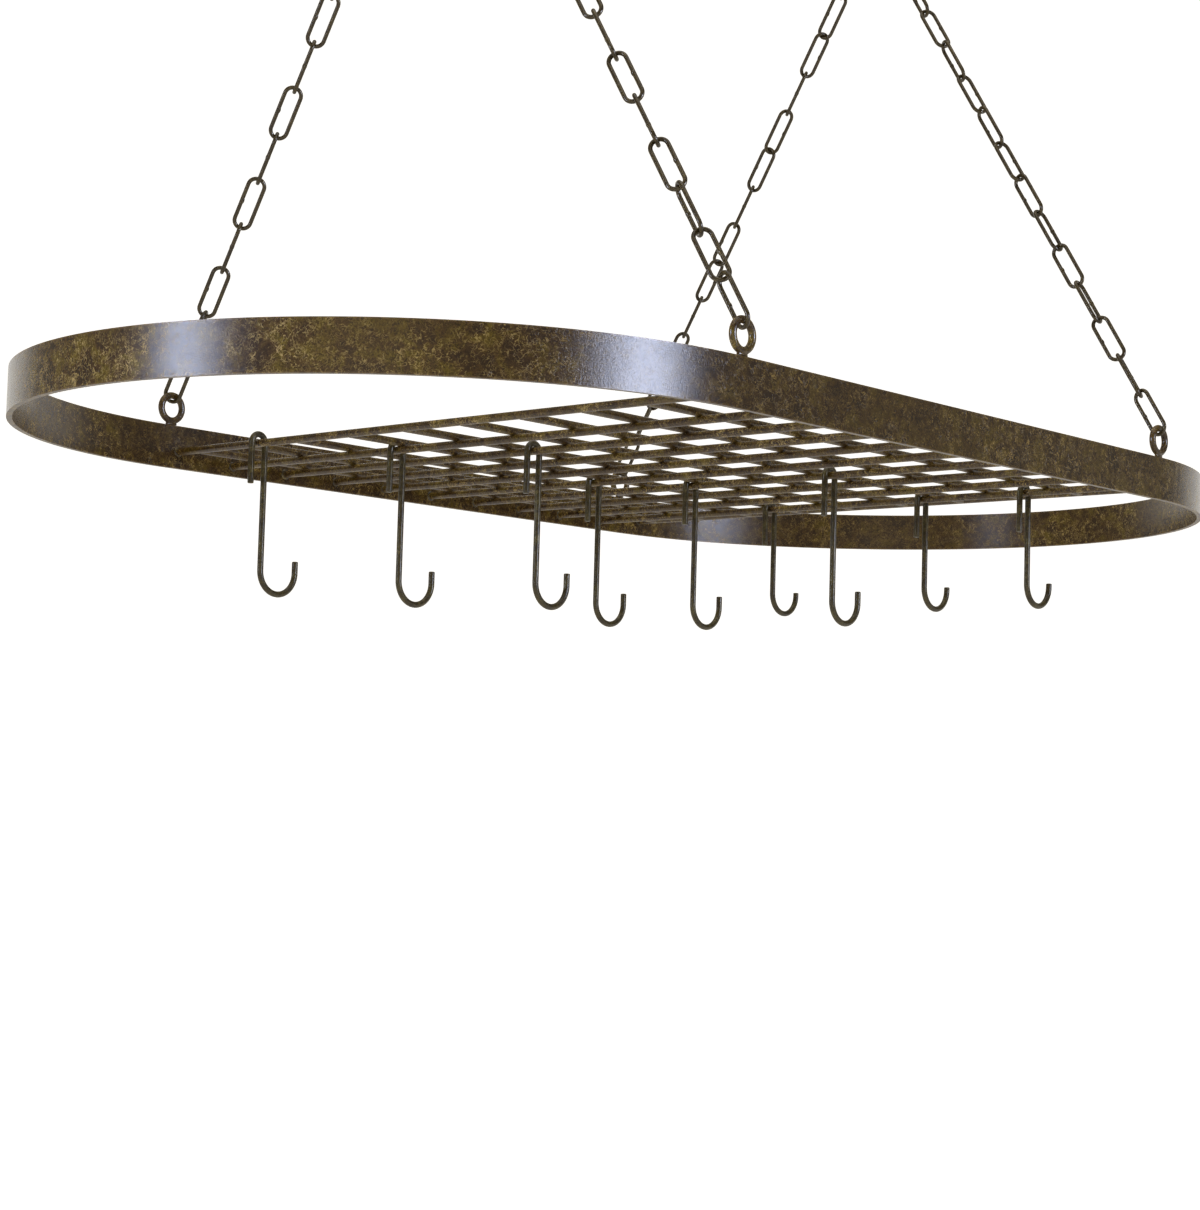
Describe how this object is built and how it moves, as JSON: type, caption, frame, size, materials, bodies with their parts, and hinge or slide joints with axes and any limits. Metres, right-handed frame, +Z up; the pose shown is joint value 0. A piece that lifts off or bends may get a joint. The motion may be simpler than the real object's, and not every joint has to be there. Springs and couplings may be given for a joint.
{
  "type": "hanging pot rack",
  "caption": "Oval hanging pot rack: a flat-bar band round a wire grid, hung on four link chains from two ceiling hooks, with loose pot hooks on its cross bars.",
  "frame": {"origin": "on the ceiling, midway between the two ceiling hooks", "axes": "+Z up, +X to the right along the rack, +Y to its back"},
  "size_m": [0.838, 0.4392, 0.5589],
  "materials": {
    "rack_coat": "mottled antique brown coat with olive and gold flecks, semi-gloss",
    "chain_coat": "dark antique bronze coat, semi-gloss",
    "pot_hook_coat": "dark grey-olive coat, satin",
    "ceiling_hook_coat": "dark antique bronze coat, semi-gloss"
  },
  "bodies": {
    "ceiling": {"ceiling_hook_left": "ceiling_hook_coat", "ceiling_hook_right": "ceiling_hook_coat"},
    "top_links": {"top_link_front_left": "chain_coat", "top_link_back_left": "chain_coat", "top_link_front_right": "chain_coat", "top_link_back_right": "chain_coat"},
    "left_chains": {"chain_front_left": "chain_coat", "chain_back_left": "chain_coat", "ring_link_front_left": "chain_coat", "ring_link_back_left": "chain_coat"},
    "right_chains": {"chain_front_right": "chain_coat", "chain_back_right": "chain_coat", "ring_link_front_right": "chain_coat", "ring_link_back_right": "chain_coat"},
    "rack": {"band": "rack_coat", "cross_bar_01": "rack_coat", "cross_bar_02": "rack_coat", "cross_bar_03": "rack_coat", "cross_bar_04": "rack_coat", "cross_bar_05": "rack_coat", "cross_bar_06": "rack_coat", "cross_bar_07": "rack_coat", "cross_bar_08": "rack_coat", "cross_bar_09": "rack_coat", "cross_bar_10": "rack_coat", "cross_bar_11": "rack_coat", "long_bar_01": "rack_coat", "long_bar_02": "rack_coat", "long_bar_03": "rack_coat", "long_bar_04": "rack_coat", "long_bar_05": "rack_coat", "long_bar_06": "rack_coat", "long_bar_07": "rack_coat", "long_bar_08": "rack_coat", "long_bar_09": "rack_coat", "long_bar_10": "rack_coat", "eye_ring_front_left": "rack_coat", "eye_ring_back_left": "rack_coat", "eye_ring_front_right": "rack_coat", "eye_ring_back_right": "rack_coat"},
    "pot_hook_1_swings": {"pot_hook_1": "pot_hook_coat"},
    "pot_hook_2_swings": {"pot_hook_2": "pot_hook_coat"},
    "pot_hook_3_swings": {"pot_hook_3": "pot_hook_coat"},
    "pot_hook_4_swings": {"pot_hook_4": "pot_hook_coat"},
    "pot_hook_5_swings": {"pot_hook_5": "pot_hook_coat"},
    "pot_hook_6_swings": {"pot_hook_6": "pot_hook_coat"},
    "pot_hook_7_swings": {"pot_hook_7": "pot_hook_coat"},
    "pot_hook_8_swings": {"pot_hook_8": "pot_hook_coat"},
    "pot_hook_9_swings": {"pot_hook_9": "pot_hook_coat"}
  },
  "joints": [
    {"name": "sway_across", "type": "hinge", "parent": "ceiling", "child": "top_links", "pos_m": [0, 0, -0.04127], "axis": [1, 0, 0], "range_deg": [-15, 15]},
    {"name": "sway_along", "type": "hinge", "parent": "top_links", "child": "left_chains", "pos_m": [-0.203, 0, -0.06348], "axis": [0, 1, 0], "range_deg": [-20, 20]},
    {"name": "right_chains_sway", "type": "hinge", "parent": "top_links", "child": "right_chains", "pos_m": [0.203, 0, -0.06348], "axis": [0, 1, 0], "range_deg": [-20, 20]},
    {"name": "rack_level", "type": "hinge", "parent": "left_chains", "child": "rack", "pos_m": [-0.203, 0, -0.40688], "axis": [0, 1, 0], "range_deg": [-20, 20]},
    {"name": "pot_hook_1_swing", "type": "hinge", "parent": "rack", "child": "pot_hook_1_swings", "pos_m": [-0.198, 0.1403, -0.43228], "axis": [0, 1, 0], "range_deg": [-40, 40]},
    {"name": "pot_hook_2_swing", "type": "hinge", "parent": "rack", "child": "pot_hook_2_swings", "pos_m": [-0.156, 0.06967, -0.43708], "axis": [0, 1, 0], "range_deg": [-40, 40]},
    {"name": "pot_hook_3_swing", "type": "hinge", "parent": "rack", "child": "pot_hook_3_swings", "pos_m": [-0.114, 0.00293, -0.43708], "axis": [0, 1, 0], "range_deg": [-40, 40]},
    {"name": "pot_hook_4_swing", "type": "hinge", "parent": "rack", "child": "pot_hook_4_swings", "pos_m": [0.012, 0.06915, -0.43708], "axis": [0, 1, 0], "range_deg": [-40, 40]},
    {"name": "pot_hook_5_swing", "type": "hinge", "parent": "rack", "child": "pot_hook_5_swings", "pos_m": [0.054, 0.02595, -0.43708], "axis": [0, 1, 0], "range_deg": [-40, 40]},
    {"name": "pot_hook_6_swing", "type": "hinge", "parent": "rack", "child": "pot_hook_6_swings", "pos_m": [0.18, 0.06045, -0.43708], "axis": [0, 1, 0], "range_deg": [-40, 40]},
    {"name": "pot_hook_7_swing", "type": "hinge", "parent": "rack", "child": "pot_hook_7_swings", "pos_m": [0.054, -0.08002, -0.43708], "axis": [0, 1, 0], "range_deg": [-40, 40]},
    {"name": "pot_hook_8_swing", "type": "hinge", "parent": "rack", "child": "pot_hook_8_swings", "pos_m": [0.18, -0.06045, -0.43708], "axis": [0, 1, 0], "range_deg": [-40, 40]},
    {"name": "pot_hook_9_swing", "type": "hinge", "parent": "rack", "child": "pot_hook_9_swings", "pos_m": [0.18, -0.13564, -0.43708], "axis": [0, 1, 0], "range_deg": [-40, 40]}
  ],
  "couplings": [
    {"joint": "right_chains_sway", "follows": "sway_along", "ratio": 1},
    {"joint": "rack_level", "follows": "sway_along", "ratio": -1}
  ]
}
